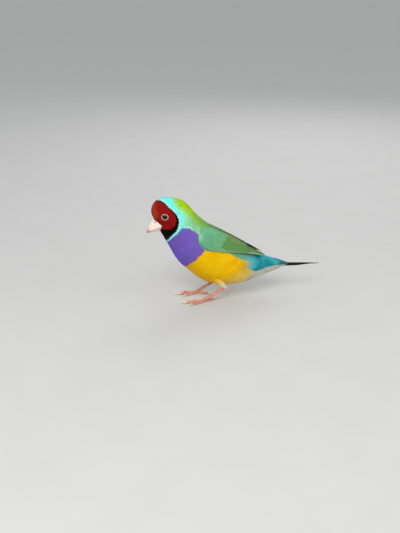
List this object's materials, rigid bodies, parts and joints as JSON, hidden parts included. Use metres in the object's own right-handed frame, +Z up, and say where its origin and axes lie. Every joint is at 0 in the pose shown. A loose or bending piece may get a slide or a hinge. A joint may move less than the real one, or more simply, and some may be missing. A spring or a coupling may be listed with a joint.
{
  "type": "gouldian finch model",
  "caption": "Life-size still model of a standing male Gouldian finch with a red mask, purple breast, yellow belly, green back and pointed black tail.",
  "frame": {"origin": "on the floor under the middle of the bird's bounding box, between its feet in Y", "axes": "+X from the bill towards the tail, so the bird faces -X; its left side is towards -Y; +Z up"},
  "size_m": [0.1245, 0.0324, 0.0754],
  "materials": {
    "mask_feathers": "matt red feathers, edged black and cyan",
    "neck_feathers": "matt cyan to lime green feathers",
    "body_feathers": "matt purple, yellow, green and white feathers",
    "wing_feathers": "satin green and dark brown flight feathers",
    "tail_feathers": "satin black feathers under blue and white coverts",
    "bill_horn": "satin ivory horn, pinkish red at the tip",
    "claw_horn": "satin horn",
    "leg_skin": "salmon pink scaly skin",
    "eye": "glossy dark brown"
  },
  "bodies": {
    "root": {"head": "mask_feathers", "neck": "neck_feathers", "torso": "body_feathers", "tail": "tail_feathers", "wing_left": "wing_feathers", "wing_right": "wing_feathers", "thigh_left": "body_feathers", "thigh_right": "body_feathers", "upper_bill": "bill_horn", "lower_bill": "bill_horn", "eye_left": "eye", "eye_right": "eye", "shank_left": "leg_skin", "shank_right": "leg_skin", "foot_left": "leg_skin", "foot_right": "leg_skin", "claw_left_1": "claw_horn", "claw_left_2": "claw_horn", "claw_left_3": "claw_horn", "claw_left_4": "claw_horn", "claw_right_1": "claw_horn", "claw_right_2": "claw_horn", "claw_right_3": "claw_horn", "claw_right_4": "claw_horn"}
  },
  "joints": []
}
